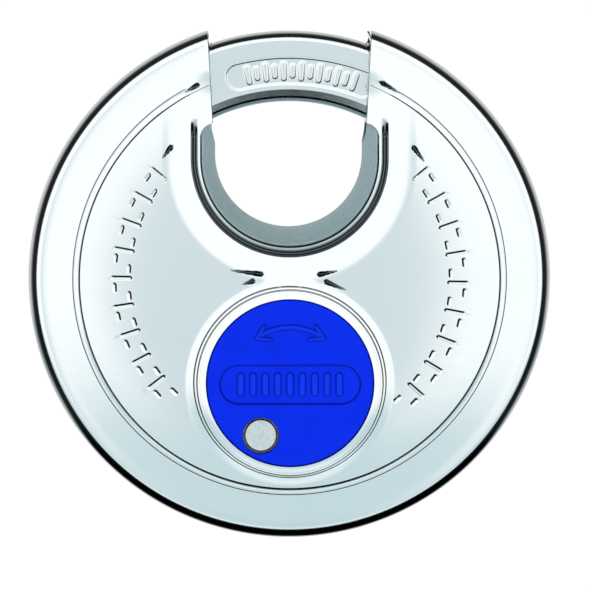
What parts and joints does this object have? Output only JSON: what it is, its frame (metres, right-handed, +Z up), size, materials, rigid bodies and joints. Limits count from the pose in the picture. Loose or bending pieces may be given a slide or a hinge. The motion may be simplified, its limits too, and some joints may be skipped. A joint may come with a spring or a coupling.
{
  "type": "disc padlock",
  "caption": "Round disc padlock with a U notch, a shackle that turns inside the disc, a turning keyhole cover and a disc-detainer core.",
  "frame": {"origin": "hang point: the middle of the closed shackle's underside, on the lock's mid-plane", "axes": "upright as hung: face towards -Y, +X to the right seen from the front, +Z up towards the shackle"},
  "size_m": [0.07, 0.0233, 0.0682],
  "materials": {
    "polished_steel": "polished stainless, lightly satin",
    "liner_steel": "matt grey",
    "hardened_steel": "ground",
    "cover_blue": "moulded, semi-gloss",
    "core_brass": "machined"
  },
  "bodies": {
    "case": {"front_shell": "polished_steel", "back_shell": "polished_steel", "notch_liner": "liner_steel", "socket_block": "hardened_steel", "inner_guide": "hardened_steel", "front_guide": "hardened_steel", "stop_pin": "hardened_steel", "index_button": "polished_steel", "drill_plate": "hardened_steel", "core_housing": "hardened_steel", "rear_bearing": "hardened_steel"},
    "shackle": {"shackle": "polished_steel", "shackle_carrier": "hardened_steel", "carrier_rivet_1": "hardened_steel", "carrier_rivet_2": "hardened_steel"},
    "core": {"core_barrel": "core_brass", "core_cap": "hardened_steel", "core_pinion": "hardened_steel", "sidebar": "hardened_steel", "disc_spacer_1": "hardened_steel", "disc_spacer_2": "hardened_steel", "disc_spacer_3": "hardened_steel", "disc_spacer_4": "hardened_steel", "disc_spacer_5": "hardened_steel"},
    "key_disc_1": {"key_disc_1": "core_brass"},
    "key_disc_2": {"key_disc_2": "core_brass"},
    "key_disc_3": {"key_disc_3": "core_brass"},
    "key_disc_4": {"key_disc_4": "core_brass"},
    "key_disc_5": {"key_disc_5": "core_brass"},
    "key_disc_6": {"key_disc_6": "core_brass"},
    "cover": {"keyhole_cover": "cover_blue"}
  },
  "joints": [
    {"name": "shackle_turn", "type": "hinge", "parent": "case", "child": "shackle", "pos_m": [0, 0, -0.0234], "axis": [0, 1, 0], "range_deg": [0, 60]},
    {"name": "core_turn", "type": "hinge", "parent": "case", "child": "core", "pos_m": [0, 0, -0.02903], "axis": [0, 1, 0], "range_deg": [0, 135]},
    {"name": "cover_turn", "type": "hinge", "parent": "case", "child": "cover", "pos_m": [0, 0, -0.0371], "axis": [0, 1, 0], "continuous": true},
    {"name": "key_disc_1_turn", "type": "hinge", "parent": "core", "child": "key_disc_1", "pos_m": [0, 0, -0.02903], "axis": [0, 1, 0], "range_deg": [0, 90]},
    {"name": "key_disc_2_turn", "type": "hinge", "parent": "core", "child": "key_disc_2", "pos_m": [0, 0, -0.02903], "axis": [0, 1, 0], "range_deg": [0, 90]},
    {"name": "key_disc_3_turn", "type": "hinge", "parent": "core", "child": "key_disc_3", "pos_m": [0, 0, -0.02903], "axis": [0, 1, 0], "range_deg": [0, 90]},
    {"name": "key_disc_4_turn", "type": "hinge", "parent": "core", "child": "key_disc_4", "pos_m": [0, 0, -0.02903], "axis": [0, 1, 0], "range_deg": [0, 90]},
    {"name": "key_disc_5_turn", "type": "hinge", "parent": "core", "child": "key_disc_5", "pos_m": [0, 0, -0.02903], "axis": [0, 1, 0], "range_deg": [0, 90]},
    {"name": "key_disc_6_turn", "type": "hinge", "parent": "core", "child": "key_disc_6", "pos_m": [0, 0, -0.02903], "axis": [0, 1, 0], "range_deg": [0, 90]}
  ],
  "couplings": [
    {"joint": "core_turn", "follows": "shackle_turn", "ratio": 2.25}
  ]
}
